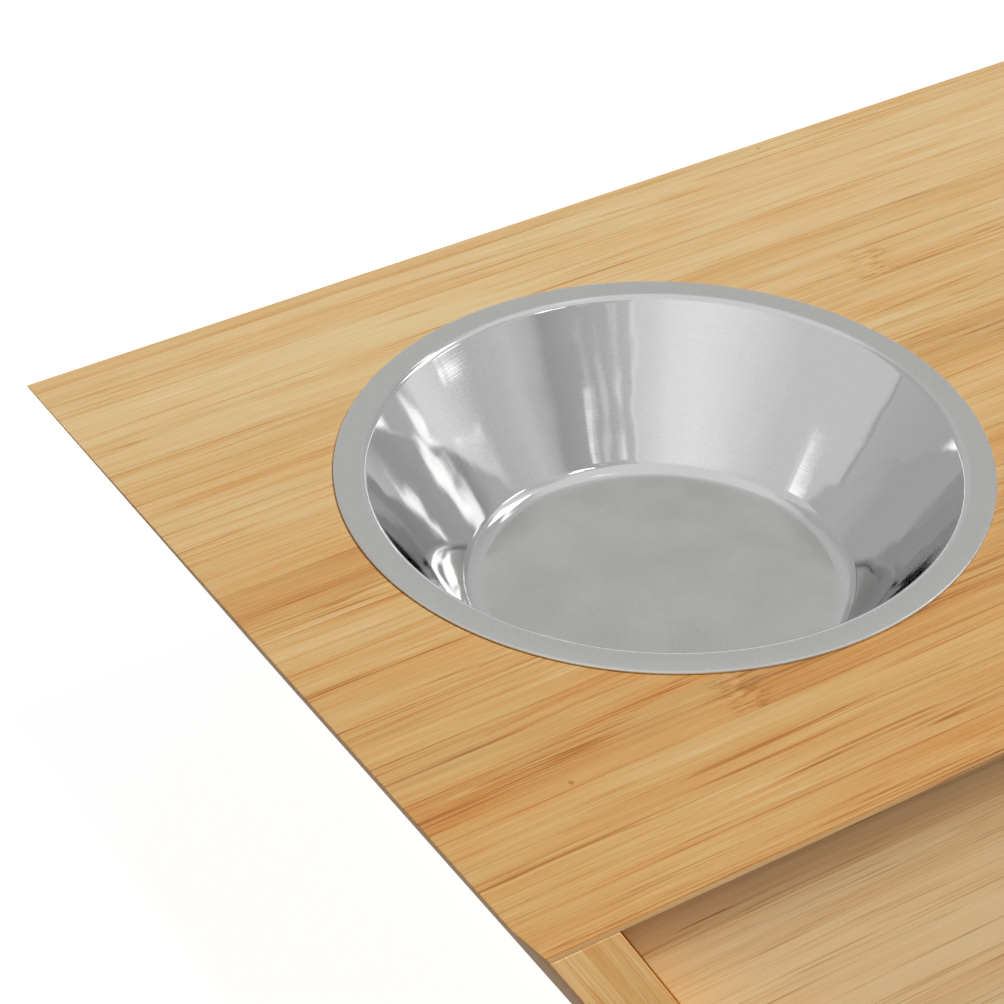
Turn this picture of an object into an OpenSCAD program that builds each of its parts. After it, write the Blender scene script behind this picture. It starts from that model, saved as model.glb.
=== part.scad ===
// Raised feeding table of bamboo board: a case whose two ends lean in towards the floor,
// two drop-in steel bowls in its top, and a storage drawer below them.
// Millimetres. +Z is up, the front faces -Y, and the origin is under the middle of the case,
// on the surface that it stands on.

/* [Case] */
// Length of the top board, left to right
top_w = 500; // [460:5:600]
// Depth of the top board, front to back
top_d = 249; // [239:1:290]
// Height of the case, from under its bottom board to the top surface
case_h = 133; // [121:1:170]
// Lean of each end panel from upright, in degrees
lean = 28; // [12:1:30]
// Step back of the drawer front from the front edges of the case
front_recess = 15; // [10:1:20]
// Step back of the back panel from the back edges of the case
back_recess = 5; // [3:1:12]

/* [Boards] */
// Thickness of the top board
top_t = 15; // [12:0.5:18]
// Thickness of the thin lip left round the top board where it is rebated
lip_t = 2; // [1.5:0.5:5]
// Thickness of the end panels
side_t = 17; // [14:0.5:19]
// Thickness of the bottom board
bottom_t = 12; // [10:0.5:15]
// Thickness of the back panel
back_t = 12; // [10:0.5:15]
// Depth of the long chamfer down the front outer corner, across the thickness
ease_across = 1.3; // [1:0.1:4]
// Length of the same chamfer along the face of the end panel
ease_along = 11; // [8:1:20]

/* [Bowls] */
// Diameter over the rim
rim_d = 168; // [150:1:172]
// Width of the flat rim
rim_w = 7.6; // [7:0.2:10]
// Depth inside, from the top of the rim to the floor
bowl_depth = 40; // [28:1:46]
// Diameter of the flat floor, up to the middle of its corner
floor_d = 100; // [80:1:104]
// Radius of the corner between the floor and the wall
floor_r = 6; // [4:0.5:9]
// Radius of the bend between the wall and the rim
bend_r = 2; // [1.5:0.5:3]
// Thickness of the pressed steel
steel_t = 1; // [0.8:0.1:1.2]
// Gap between the bowl's wall and its hole in the top
hole_gap = 1.6; // [1:0.2:2.2]
// Wood between the rim and the end of the top
bowl_end_margin = 38.3; // [30:0.1:45]
// Wood between the rim and the back edge of the top
bowl_back_margin = 34; // [26:0.5:36]

/* [Corner blocks] */
// Width of a block along the underside of the top
block_w = 28; // [24:1:30]
// Height of a block
block_h = 22; // [18:1:24]
// Length of a block, front to back
block_l = 40; // [36:1:44]

/* [Drawer] */
// Gap round the drawer front
front_gap = 1; // [0.8:0.1:2]
// Gap between the drawer's sides and the case's ends
side_gap = 2; // [1:0.5:4]
// Thickness of the drawer front
front_t = 12; // [11:0.5:15]
// Thickness of the drawer's sides and back
box_t = 9; // [8:0.5:12]
// Thickness of the drawer's bottom
base_t = 4; // [3:0.5:5]
// Height of the drawer's bottom above the lower edge of its sides
base_lift = 6; // [5:0.5:10]
// Depth of the groove that holds the drawer's bottom
groove = 4; // [3:0.5:5]
// Headroom between the drawer's sides and what hangs above them
headroom = 3; // [2:0.5:8]
// Gap behind the drawer when it is shut
back_gap = 3; // [2:0.5:8]
// Width of the finger notch
notch_w = 90; // [70:1:120]
// Depth of the finger notch below the top of the drawer front
notch_h = 20; // [16:1:26]
// Radius of the notch's lower corners
notch_r = 12; // [8:0.5:15]
// Width of a runner strip
runner_w = 16; // [14:1:20]
// Thickness of a runner strip
runner_t = 3; // [2:0.5:5]

/* [Fixings] */
// Diameter of the case's dowels
dowel_d = 8; // [6:0.5:8]
// Length of the case's dowels
dowel_l = 30; // [24:1:34]
// Diameter of the drawer's dowels
small_dowel_d = 5; // [4:0.5:5]
// Length of the drawer's dowels
small_dowel_l = 24; // [20:1:30]
// Diameter of the screws' shanks
screw_d = 3.5; // [3:0.1:4]
// Diameter of the screws' heads
head_d = 7; // [6:0.2:7.6]
// Bite of a screw in the face of a board
face_bite = 10; // [8:0.5:11]
// Bite of a screw in the end or edge of a board
end_bite = 14; // [12:0.5:18]
// Bite of a foot's screw in the bottom board
foot_bite = 8; // [6:0.5:8.5]

/* [Feet] */
// Diameter of a foot
foot_d = 24; // [20:1:30]
// Height of a foot
foot_h = 5; // [4.5:0.5:8]
// Inset of a foot's centre from the ends and edges of the bottom board
foot_inset = 24; // [16:1:34]

/* [Hidden] */

// Colours
bamboo = [0.82, 0.63, 0.40];
bamboo_inner = [0.86, 0.72, 0.52];
beech = [0.80, 0.68, 0.52];
steel = [0.72, 0.72, 0.71];
zinc = [0.60, 0.61, 0.62];
rubber = [0.16, 0.16, 0.16];

// Clearances
running = 0.3;  // between a moving piece and what it runs on or stops at
fit_gap = 0.1;  // all round a dowel, a screw or the drawer's bottom in its hole or groove
over = 1;       // how far a cut runs past the face that it leaves

// Facets of the large and the small round pieces
smooth = 144;
fine = 48;

// Levels
under_z = foot_h;
floor_z = under_z + bottom_t;
top_z = foot_h + case_h;
lip_z = top_z - lip_t;
plug_z = top_z - top_t;
block_z = plug_z - block_h;

// Planes from front to back
front_y = -top_d / 2;
face_y = front_y + front_recess;
box_y = face_y + front_t;
block_y = box_y + running;
back_y = top_d / 2;
panel_y = back_y - back_recess - back_t;

// Half width of the case over its end panels, and between them, at a height
function outer_x(z) = top_w / 2 - (top_z - z) * tan(lean);
function inner_x(z) = outer_x(z) - side_t / cos(lean);
// Half width at a height of a plane that lies in from the inner faces by a gap
function inset_x(z, gap) = inner_x(z) - gap / cos(lean);
// Distance down the slope of the end panel of a height
function down(z) = (top_z - z) / cos(lean);

// Bowls
rim_r = rim_d / 2;
mouth_r = rim_r - rim_w;
bowl_x = top_w / 2 - bowl_end_margin - rim_r;
bowl_y = back_y - bowl_back_margin - rim_r;
hole_r = mouth_r + steel_t + hole_gap;
rim_z = top_z + steel_t;
bowl_under_z = rim_z - bowl_depth - steel_t;

// Drawer
box_z = floor_z + runner_t + running;
box_top_z = min(bowl_under_z, block_z) - headroom;
base_z = box_z + base_lift;
base_top_z = base_z + base_t;
box_back_y = panel_y - back_gap;
front_low_z = floor_z + front_gap;
front_top_z = plug_z - front_gap;
runner_x = inner_x(floor_z) - runner_w;
// Gap that the floor of the grooves in the drawer's sides keeps from the case's ends
groove_gap = side_gap + box_t - groove * cos(lean);

// Screws
head_h = (head_d - screw_d) / 2;
tip_l = screw_d;
tip_d = screw_d / 5;
drive_l = head_d * 0.55;
drive_w = head_d * 0.13;
drive_deep = head_h / 2;
up_screw_l = block_h + face_bite;
out_screw_l = block_w - block_h / 2 * tan(lean) + face_bite;
side_screw_l = side_t + end_bite;
drawer_screw_l = box_t + end_bite;
base_screw_l = base_t + end_bite;

// Places of the dowels and screws in the case
dowel_in_side = dowel_l / 3;
dowel_z = under_z + bottom_t / 2;
dowel_ys = [for (k = [0.15, 0.5, 0.85]) face_y + k * (panel_y - face_y)];
side_screw_y = panel_y + back_t / 2;
side_screw_zs = [for (k = [0.2, 0.5, 0.8]) under_z + k * (lip_z - under_z)];
block_x = inner_x(plug_z) - block_w;
block_foot_w = block_w - block_h * tan(lean);
block_front_mid = block_y + block_l / 2;
block_back_mid = panel_y - block_l / 2;
block_screw_step = block_l / 4;

// Places of the dowels and screws in the drawer
small_dowel_in_front = front_t / 2;
small_dowel_zs = [for (k = [0.3, 0.78]) box_z + k * (box_top_z - box_z)];
drawer_screw_y = box_back_y - box_t / 2;
drawer_screw_zs = [for (k = [0.15, 0.6]) base_top_z + k * (box_top_z - base_top_z)];
base_screw_xs = [for (k = [-0.6, 0, 0.6]) k * inset_x(base_z, side_gap + box_t)];

// Feet
foot_x = inner_x(under_z) - foot_inset;
foot_ys = [face_y + foot_inset, panel_y - foot_inset];
foot_seat = foot_h / 2;
foot_taper = 1.5;
foot_mouth_r = head_d / 2 + 1;
foot_screw_l = foot_h - foot_seat + foot_bite;

// A bar along Y whose section is given as [x, z] corners
module along_y(y0, y1, corners)
    translate([0, y1, 0])
        rotate([90, 0, 0])
            linear_extrude(y1 - y0)
                polygon(corners);

// A board between the two end panels, with its ends cut to their lean less a gap
module between_ends(z0, z1, y0, y1, gap = 0)
    along_y(y0, y1, [
        [-inset_x(z0, gap), z0], [inset_x(z0, gap), z0],
        [inset_x(z1, gap), z1], [-inset_x(z1, gap), z1]
    ]);

// A board on the right that leans with the end panel, from one gap to another inside it
module leaning(z0, z1, y0, y1, gap0, gap1)
    along_y(y0, y1, [
        [inset_x(z0, gap1), z0], [inset_x(z0, gap0), z0],
        [inset_x(z1, gap0), z1], [inset_x(z1, gap1), z1]
    ]);

// The frame of the right end panel: x is out of its outer face and z is up its slope. Its
// origin is at a height, on the outer face or at a depth below it
module on_slope(y, z, depth = 0)
    translate([top_w / 2, y, top_z])
        rotate([0, lean, 0])
            translate([-depth, 0, -down(z) - depth * tan(lean)])
                children();

// The left piece is the mirror image of the right one
module to_left() mirror([1, 0, 0]) children();

// A countersunk wood screw: the head's face is at z = 0 and the point is below
module wood_screw(length)
    difference() {
        union() {
            translate([0, 0, -head_h])
                cylinder(h = head_h, d1 = screw_d, d2 = head_d, $fn = fine);
            translate([0, 0, -length + tip_l])
                cylinder(h = length - tip_l - head_h, d = screw_d, $fn = fine);
            translate([0, 0, -length])
                cylinder(h = tip_l, d1 = tip_d, d2 = screw_d, $fn = fine);
        }
        for (turn = [0, 90])
            rotate([0, 0, turn])
                cube([drive_l, drive_w, 2 * drive_deep], center = true);
    }

// The hole that such a screw lies in
module screw_hole(length) {
    translate([0, 0, -length - fit_gap])
        cylinder(h = length + fit_gap, d = screw_d + 2 * fit_gap, $fn = fine);
    translate([0, 0, -head_h - fit_gap])
        cylinder(h = head_h + fit_gap, d1 = screw_d + 2 * fit_gap, d2 = head_d + 2 * fit_gap, $fn = fine);
    cylinder(h = head_h + over, d = head_d + 2 * fit_gap, $fn = fine);
}

// The dowels between the right end panel and the bottom board, or their holes when given a gap
module case_dowels(gap = 0)
    for (y = dowel_ys)
        translate([inner_x(dowel_z) + dowel_in_side - dowel_l - gap, y, dowel_z])
            rotate([0, 90, 0])
                cylinder(h = dowel_l + 2 * gap, d = dowel_d + 2 * gap, $fn = fine);

// Where the screws through the right end panel into the back panel lie
module at_side_screws()
    for (z = side_screw_zs)
        on_slope(side_screw_y, z)
            rotate([0, 90, 0])
                children();

// Where the screws up through the right corner blocks into the top lie
module at_block_up_screws()
    for (y = [block_front_mid - block_screw_step, block_back_mid - block_screw_step])
        translate([block_x + block_foot_w / 2, y, block_z])
            rotate([180, 0, 0])
                children();

// Where the screws out through the right corner blocks into the end panel lie
module at_block_side_screws()
    for (y = [block_front_mid + block_screw_step, block_back_mid + block_screw_step])
        translate([block_x, y, block_z + block_h / 2])
            rotate([0, -90, 0])
                children();

// Where the screws through the right drawer side into the drawer's back lie
module at_drawer_screws()
    for (z = drawer_screw_zs)
        on_slope(drawer_screw_y, z, side_t + side_gap)
            rotate([0, 90, 0])
                children();

// Where the screws up through the drawer's bottom into its back lie
module at_base_screws()
    for (x = base_screw_xs)
        translate([x, drawer_screw_y, base_z])
            rotate([180, 0, 0])
                children();

// Where the screws up through the right feet lie
module at_foot_screws()
    for (y = foot_ys)
        translate([foot_x, y, foot_seat])
            rotate([180, 0, 0])
                children();

// The dowels between the drawer front and the right drawer side, or their holes
module drawer_dowels(gap = 0)
    for (z = small_dowel_zs)
        translate([inset_x(z, side_gap + box_t / 2), box_y - small_dowel_in_front + small_dowel_l + gap, z])
            rotate([90, 0, 0])
                cylinder(h = small_dowel_l + 2 * gap, d = small_dowel_d + 2 * gap, $fn = fine);

// The wedge that the long chamfer takes off the right front corner, with its ends run on a
// little past the chamfer's own edges
module corner_ease() {
    reach = 0.3;
    on_slope(front_y, 0)
        linear_extrude(down(0) + case_h)
            polygon([
                [-ease_across * (1 + reach), -ease_along * reach],
                [ease_across * (reach + 1), -ease_along * reach],
                [ease_across * reach, ease_along * (1 + reach)]
            ]);
}

module both_sides() {
    children();
    to_left() children();
}

// ---- Case ----

// The top: one wide board, rebated all round so that a thin lip covers the case's edges
module top_board() color(bamboo)
    difference() {
        union() {
            along_y(front_y, back_y, [
                [-outer_x(lip_z), lip_z], [outer_x(lip_z), lip_z],
                [outer_x(top_z), top_z], [-outer_x(top_z), top_z]
            ]);
            between_ends(plug_z, lip_z, face_y, panel_y);
        }
        both_sides() {
            translate([bowl_x, bowl_y, plug_z - over])
                cylinder(h = top_t + 2 * over, r = hole_r, $fn = smooth);
            corner_ease();
            at_block_up_screws() screw_hole(up_screw_l);
        }
    }

// An end panel: its top and bottom edges lie level, and its inner face takes the boards
module side_panel_right() color(bamboo)
    difference() {
        leaning(under_z, lip_z, front_y, back_y, -side_t, 0);
        corner_ease();
        case_dowels(fit_gap);
        at_side_screws() screw_hole(side_screw_l);
        at_block_side_screws() screw_hole(out_screw_l);
    }

module side_panel_left() to_left() side_panel_right();

module bottom_board() color(bamboo)
    difference() {
        between_ends(under_z, floor_z, face_y, panel_y);
        both_sides() {
            case_dowels(fit_gap);
            at_foot_screws() screw_hole(foot_screw_l);
        }
    }

module back_panel() color(bamboo)
    difference() {
        between_ends(under_z, lip_z, panel_y, panel_y + back_t);
        both_sides() at_side_screws() screw_hole(side_screw_l);
    }

// A glued and screwed block in the corner between the top and an end panel
module corner_block(y0) color(bamboo_inner)
    difference() {
        along_y(y0, y0 + block_l, [
            [block_x, block_z], [inner_x(block_z), block_z],
            [inner_x(plug_z), plug_z], [block_x, plug_z]
        ]);
        at_block_up_screws() screw_hole(up_screw_l);
        at_block_side_screws() screw_hole(out_screw_l);
    }

module corner_block_front_right() corner_block(block_y);
module corner_block_back_right() corner_block(panel_y - block_l);
module corner_block_front_left() to_left() corner_block_front_right();
module corner_block_back_left() to_left() corner_block_back_right();

module block_screws_right() color(zinc) {
    at_block_up_screws() wood_screw(up_screw_l);
    at_block_side_screws() wood_screw(out_screw_l);
}

module block_screws_left() to_left() block_screws_right();

module side_screws_right() color(zinc) at_side_screws() wood_screw(side_screw_l);

module side_screws_left() to_left() side_screws_right();

module case_dowels_right() color(beech) case_dowels();

module case_dowels_left() to_left() case_dowels_right();

// ---- Feet ----

// A moulded rubber foot with a sunk seat for its screw
module foot(y) color(rubber)
    translate([foot_x, y, 0])
        rotate_extrude($fn = smooth)
            polygon([
                [foot_mouth_r, 0], [foot_d / 2 - foot_taper, 0], [foot_d / 2, foot_h],
                [screw_d / 2 + fit_gap, foot_h], [screw_d / 2 + fit_gap, foot_seat + head_h + fit_gap],
                [head_d / 2 + fit_gap, foot_seat], [foot_mouth_r, foot_seat]
            ]);

module foot_front_right() foot(foot_ys[0]);
module foot_back_right() foot(foot_ys[1]);
module foot_front_left() to_left() foot_front_right();
module foot_back_left() to_left() foot_back_right();

module foot_screws() color(zinc)
    both_sides() at_foot_screws() wood_screw(foot_screw_l);

// ---- Drawer ----

// A strip glued to the bottom board, on which a drawer side slides
module drawer_runner_right() color(bamboo_inner)
    translate([runner_x, block_y, floor_z])
        cube([runner_w, panel_y - block_y, runner_t]);

module drawer_runner_left() to_left() drawer_runner_right();

// The groove that the drawer's bottom slides into from behind, cut as one flat slab
module base_groove()
    between_ends(base_z - fit_gap, base_top_z + fit_gap, box_y - groove, box_back_y + over, groove_gap);

// The notch has round lower corners and is open at the top
module finger_notch() {
    for (side = [-1, 1])
        translate([side * (notch_w / 2 - notch_r), box_y + over, front_top_z - notch_h + notch_r])
            rotate([90, 0, 0])
                cylinder(h = front_t + 2 * over, r = notch_r, $fn = smooth);
    translate([-notch_w / 2 + notch_r, face_y - over, front_top_z - notch_h])
        cube([notch_w - 2 * notch_r, front_t + 2 * over, notch_h + over]);
    translate([-notch_w / 2, face_y - over, front_top_z - notch_h + notch_r])
        cube([notch_w, front_t + 2 * over, notch_h - notch_r + over]);
}

module drawer_front() color(bamboo)
    difference() {
        between_ends(front_low_z, front_top_z, face_y, box_y, front_gap);
        finger_notch();
        base_groove();
        both_sides() drawer_dowels(fit_gap);
    }

module drawer_side_right() color(bamboo_inner)
    difference() {
        leaning(box_z, box_top_z, box_y, box_back_y, side_gap, side_gap + box_t);
        base_groove();
        drawer_dowels(fit_gap);
        at_drawer_screws() screw_hole(drawer_screw_l);
    }

module drawer_side_left() to_left() drawer_side_right();

// The drawer's back stands on its bottom, between its sides
module drawer_back() color(bamboo_inner)
    difference() {
        between_ends(base_top_z, box_top_z, box_back_y - box_t, box_back_y, side_gap + box_t);
        both_sides() at_drawer_screws() screw_hole(drawer_screw_l);
        at_base_screws() screw_hole(base_screw_l);
    }

module drawer_bottom() color(bamboo_inner)
    difference() {
        between_ends(base_z, base_top_z, box_y - groove + fit_gap, box_back_y, groove_gap + fit_gap);
        at_base_screws() screw_hole(base_screw_l);
    }

module drawer_dowels_right() color(beech) drawer_dowels();

module drawer_dowels_left() to_left() drawer_dowels_right();

module drawer_screws_right() color(zinc) at_drawer_screws() wood_screw(drawer_screw_l);

module drawer_screws_left() to_left() drawer_screws_right();

module drawer_bottom_screws() color(zinc) at_base_screws() wood_screw(base_screw_l);

// ---- Bowls ----

// Points of an arc about [r, z] from one angle to another
function arc(r, z, radius, a0, a1, steps = 6) =
    [for (k = [0:steps]) let (a = a0 + (a1 - a0) * k / steps) [r + radius * cos(a), z + radius * sin(a)]];

// A list of points the other way round
function reversed(points) = [for (k = [len(points) - 1:-1:0]) points[k]];

// Slope of the bowl's wall from level, between its floor and its mouth
wall_a = atan2(bowl_depth, mouth_r - floor_d / 2);

// The floor's corner and the bend at the mouth, each turning about a centre of its own
floor_arc_r = floor_d / 2 - floor_r * tan(wall_a / 2);
mouth_arc_r = mouth_r + (bend_r + steel_t) * tan(wall_a / 2);

// The face of the pressed sheet that lies a distance below its upper face
function sheet(below) = concat(
    arc(floor_arc_r, rim_z - bowl_depth + floor_r, floor_r + below, -90, -90 + wall_a),
    arc(mouth_arc_r, rim_z - bend_r - steel_t, bend_r + steel_t - below, 90 + wall_a, 90)
);

// A bowl pressed from one sheet, with a flat rim that lies on the wood and a broken outer edge
module bowl_right() color(steel)
    translate([bowl_x, bowl_y, 0])
        rotate_extrude($fn = smooth)
            polygon(concat(
                [[0, rim_z - bowl_depth]],
                sheet(0),
                [[rim_r - steel_t / 2, rim_z], [rim_r, rim_z - steel_t / 2], [rim_r, top_z]],
                reversed(sheet(steel_t)),
                [[0, rim_z - bowl_depth - steel_t]]
            ));

module bowl_left() to_left() bowl_right();

top_board();
side_panel_left();
side_panel_right();
bottom_board();
back_panel();
corner_block_front_left();
corner_block_front_right();
corner_block_back_left();
corner_block_back_right();
block_screws_left();
block_screws_right();
side_screws_left();
side_screws_right();
case_dowels_left();
case_dowels_right();
foot_front_left();
foot_front_right();
foot_back_left();
foot_back_right();
foot_screws();
drawer_runner_left();
drawer_runner_right();
drawer_front();
drawer_side_left();
drawer_side_right();
drawer_back();
drawer_bottom();
drawer_dowels_left();
drawer_dowels_right();
drawer_screws_left();
drawer_screws_right();
drawer_bottom_screws();
bowl_left();
bowl_right();
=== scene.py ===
import math

import bmesh
import bpy
import numpy
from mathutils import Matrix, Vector


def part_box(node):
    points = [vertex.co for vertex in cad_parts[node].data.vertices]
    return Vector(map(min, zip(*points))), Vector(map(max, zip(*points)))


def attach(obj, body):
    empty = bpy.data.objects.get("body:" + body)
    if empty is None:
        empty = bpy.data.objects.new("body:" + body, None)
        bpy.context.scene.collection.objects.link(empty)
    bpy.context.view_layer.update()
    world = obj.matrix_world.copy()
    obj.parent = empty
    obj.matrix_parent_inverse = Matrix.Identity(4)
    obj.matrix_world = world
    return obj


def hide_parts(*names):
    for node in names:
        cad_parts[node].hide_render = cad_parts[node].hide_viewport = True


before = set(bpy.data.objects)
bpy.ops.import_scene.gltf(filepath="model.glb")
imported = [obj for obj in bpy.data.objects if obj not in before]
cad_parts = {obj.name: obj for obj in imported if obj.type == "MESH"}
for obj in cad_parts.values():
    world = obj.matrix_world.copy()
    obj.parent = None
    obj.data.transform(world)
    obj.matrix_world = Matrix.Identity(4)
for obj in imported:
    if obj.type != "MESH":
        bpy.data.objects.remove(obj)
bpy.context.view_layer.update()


# ---- Top board ----
# One wide board of bamboo strips, glued edge to edge with the fibres running along the case.
# It is rebated to a thin lip all round, sanded, eased at its arrises and lacquered with satin.

MM = 0.001
WELD = 2e-6         # points nearer than this are one point
IN_MM = (1 / MM, 1 / MM, 1 / MM)


def in_scene(name, data):
    """A new object in the scene, at the origin."""
    made = bpy.data.objects.new(name, data)
    bpy.context.scene.collection.objects.link(made)
    return made


def new_finish(name):
    """A new material, and its tree with nothing in it yet."""
    finish = bpy.data.materials.new(name)
    finish.use_nodes = True
    finish.node_tree.nodes.clear()
    return finish, finish.node_tree


def joined(tree, kind, inputs=None, **settings):
    """A node with its settings, each input given as a value or as the socket that feeds it."""
    node = tree.nodes.new(kind)
    for name, value in settings.items():
        setattr(node, name, value)
    for key, value in (inputs or {}).items():
        if isinstance(value, bpy.types.NodeSocket):
            tree.links.new(value, node.inputs[key])
        else:
            node.inputs[key].default_value = value
    return node


def sum_of(tree, kind, *values):
    """A Math node on up to three values or sockets."""
    return joined(tree, "ShaderNodeMath", dict(enumerate(values)), operation=kind).outputs[0]


def graded(tree, value, low, high, to_low=0.0, to_high=1.0, smooth=True):
    """A value spread from one range to another, held at its ends."""
    node = joined(tree, "ShaderNodeMapRange",
                  {0: value, 1: low, 2: high, 3: to_low, 4: to_high},
                  interpolation_type="SMOOTHSTEP" if smooth else "LINEAR")
    return node.outputs[0]


def streaks(tree, along, across, deep, length, width, detail=2.0, rough=0.55):
    """Noise drawn out along the fibres: streaks of about a length and a width in millimetres."""
    place = joined(tree, "ShaderNodeCombineXYZ", {
        0: sum_of(tree, "DIVIDE", along, length),
        1: sum_of(tree, "DIVIDE", across, width),
        2: sum_of(tree, "DIVIDE", deep, width),
    })
    node = joined(tree, "ShaderNodeTexNoise", {
        "Vector": place.outputs[0], "Scale": 1.0, "Detail": detail, "Roughness": rough,
    })
    return node.outputs[0]


def ramp_of(tree, value, stops, kind="LINEAR"):
    """A colour ramp with its stops as (place, colour)."""
    node = joined(tree, "ShaderNodeValToRGB", {0: value})
    ramp = node.color_ramp
    ramp.interpolation = kind
    while len(ramp.elements) > 1:
        ramp.elements.remove(ramp.elements[-1])
    ramp.elements[0].position = stops[0][0]
    ramp.elements[0].color = (*stops[0][1], 1.0)
    for place, colour in stops[1:]:
        ramp.elements.new(place).color = (*colour, 1.0)
    return node.outputs[0]


STRIP = 14.5            # width of a bamboo strip
PLY = 6.0               # thickness of a layer of strips
KNUCKLES_FROM = -260.0  # where a knuckle stated as 0 lies along the board
KNUCKLES_OVER = 600.0   # and how far beyond that one stated as 1 does
NO_KNUCKLE = 1.0        # a strip whose knuckle lies off the board
KNUCKLE_PITCH = 330.0   # from knuckle to knuckle where none is stated

# Colours of the wood from its palest fibres to the dark resin between them
HONEY = [
    (0.00, (0.790, 0.610, 0.350)),
    (0.22, (0.715, 0.500, 0.240)),
    (0.40, (0.645, 0.380, 0.138)),
    (0.58, (0.560, 0.272, 0.080)),
    (0.78, (0.440, 0.185, 0.048)),
    (1.00, (0.290, 0.105, 0.027)),
]


def bamboo(name, turn=(0, 0, 0), shift=(0, 0, 0), strips=None, plies=None, seed=0, colours=HONEY,
           gloss=0.36, shine=0.42, lines=1.0, arris=None, knots=()):
    """Laminated bamboo. turn lays the fibres along X, and shift moves the joints by millimetres."""
    material, tree = new_finish(name)
    place = joined(tree, "ShaderNodeTexCoord").outputs["Object"]
    local = joined(tree, "ShaderNodeMapping", {
        "Vector": place, "Location": shift, "Rotation": turn, "Scale": IN_MM,
    }, vector_type="POINT").outputs[0]
    along, across, deep = joined(tree, "ShaderNodeSeparateXYZ", {0: local}).outputs

    # Which strip a point is in, from the back edge to the front, and in which layer
    strip_at = sum_of(tree, "DIVIDE", across, -STRIP)
    strip = sum_of(tree, "FLOOR", strip_at)
    in_strip = sum_of(tree, "SUBTRACT", strip_at, strip)
    layer = sum_of(tree, "FLOOR", sum_of(tree, "DIVIDE", deep, -PLY))

    def listed(rows, number):
        """The traits that are stated for a strip or a layer, by its number."""
        where = sum_of(tree, "DIVIDE", sum_of(tree, "ADD", number, 0.5), len(rows))
        return ramp_of(tree, where, [(i / len(rows), row) for i, row in enumerate(rows)],
                       "CONSTANT")

    # A tone, a place for the knuckle and a streakiness for each, stated or by chance
    if strips:
        traits = listed(strips, strip)
    else:
        numbers = joined(tree, "ShaderNodeCombineXYZ", {0: strip, 1: layer, 2: float(seed)})
        traits = joined(tree, "ShaderNodeTexWhiteNoise", {"Vector": numbers.outputs[0]},
                        noise_dimensions="3D").outputs["Color"]
    if plies:
        traits = joined(tree, "ShaderNodeMix", {0: 0.7, 6: traits, 7: listed(plies, layer)},
                        data_type="RGBA").outputs[2]
    tone, knuckle, streaky = joined(tree, "ShaderNodeSeparateColor", {0: traits}).outputs

    # Each strip has fibres of its own, which sway a little
    own_along = sum_of(tree, "ADD", along, sum_of(tree, "MULTIPLY", strip, 317.0 + seed))
    own_deep = sum_of(tree, "ADD", deep, sum_of(tree, "MULTIPLY", layer, 41.0 + seed))
    sway = streaks(tree, own_along, across, own_deep, 90, 30, 1.0)
    bent = sum_of(tree, "MULTIPLY_ADD", sway, 2.4, across)

    # The knuckle: a ragged crease across one strip, where the cane had a joint
    if strips:
        knuckle_x = sum_of(tree, "MULTIPLY_ADD", knuckle, KNUCKLES_OVER, KNUCKLES_FROM)
        past = sum_of(tree, "SUBTRACT", along, knuckle_x)
    else:
        knuckle_x = sum_of(tree, "MULTIPLY", knuckle, KNUCKLE_PITCH)
        canes = sum_of(tree, "DIVIDE", sum_of(tree, "SUBTRACT", along, knuckle_x), KNUCKLE_PITCH)
        whole = sum_of(tree, "FLOOR", sum_of(tree, "ADD", canes, 0.5))
        past = sum_of(tree, "MULTIPLY", sum_of(tree, "SUBTRACT", canes, whole), KNUCKLE_PITCH)
    ragged = streaks(tree, own_along, across, own_deep, 9, 3.5, 2.0)
    past = sum_of(tree, "ADD", past, sum_of(tree, "MULTIPLY_ADD", ragged, 14.0, -7.0))
    off = sum_of(tree, "ABSOLUTE", past)
    crease = graded(tree, off, 0.9, 0.2)
    dashes = graded(tree, streaks(tree, own_along, across, own_deep, 5.0, 0.75, 2.0, 0.6),
                    0.50, 0.60)
    dashes = sum_of(tree, "MULTIPLY", dashes, graded(tree, off, 8.0, 3.0))
    # The fibres are dark and crowded for a way past it
    crowded = sum_of(tree, "MULTIPLY", graded(tree, past, 0.0, 4.0), graded(tree, past, 75.0, 12.0))

    # Broad and fine variation, then dark lines where a noise crosses its middle value
    broad = streaks(tree, own_along, bent, own_deep, 190, 6.0, 2.0)
    middle = streaks(tree, own_along, bent, own_deep, 70, 1.5, 2.0, 0.6)
    fine = streaks(tree, own_along, bent, own_deep, 24, 0.34, 3.0, 0.65)
    speck = streaks(tree, own_along, bent, own_deep, 1.6, 0.6, 2.0, 0.6)
    lined = graded(tree, streaks(tree, own_along, bent, own_deep, 120, 6.0, 1.0), 0.40, 0.60)
    lined = sum_of(tree, "MULTIPLY", lined,
                   graded(tree, streaky, 0.0, 1.0, 0.45 * lines, 1.0 * lines, smooth=False))
    lined = sum_of(tree, "MULTIPLY_ADD", crowded, 0.55, lined)

    def line(length, spacing, width, cut):
        """Fine dark lines along the fibres, broken here and there."""
        value = streaks(tree, own_along, bent, own_deep, length, spacing, 1.0, 0.5)
        value = sum_of(tree, "ABSOLUTE", sum_of(tree, "SUBTRACT", value, 0.5))
        value = graded(tree, value, width, width * 0.2)
        gaps = streaks(tree, own_along, bent, own_deep, length * 0.35, spacing * 0.8, 2.0)
        return sum_of(tree, "MULTIPLY", value, graded(tree, gaps, cut, cut + 0.16))

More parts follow.
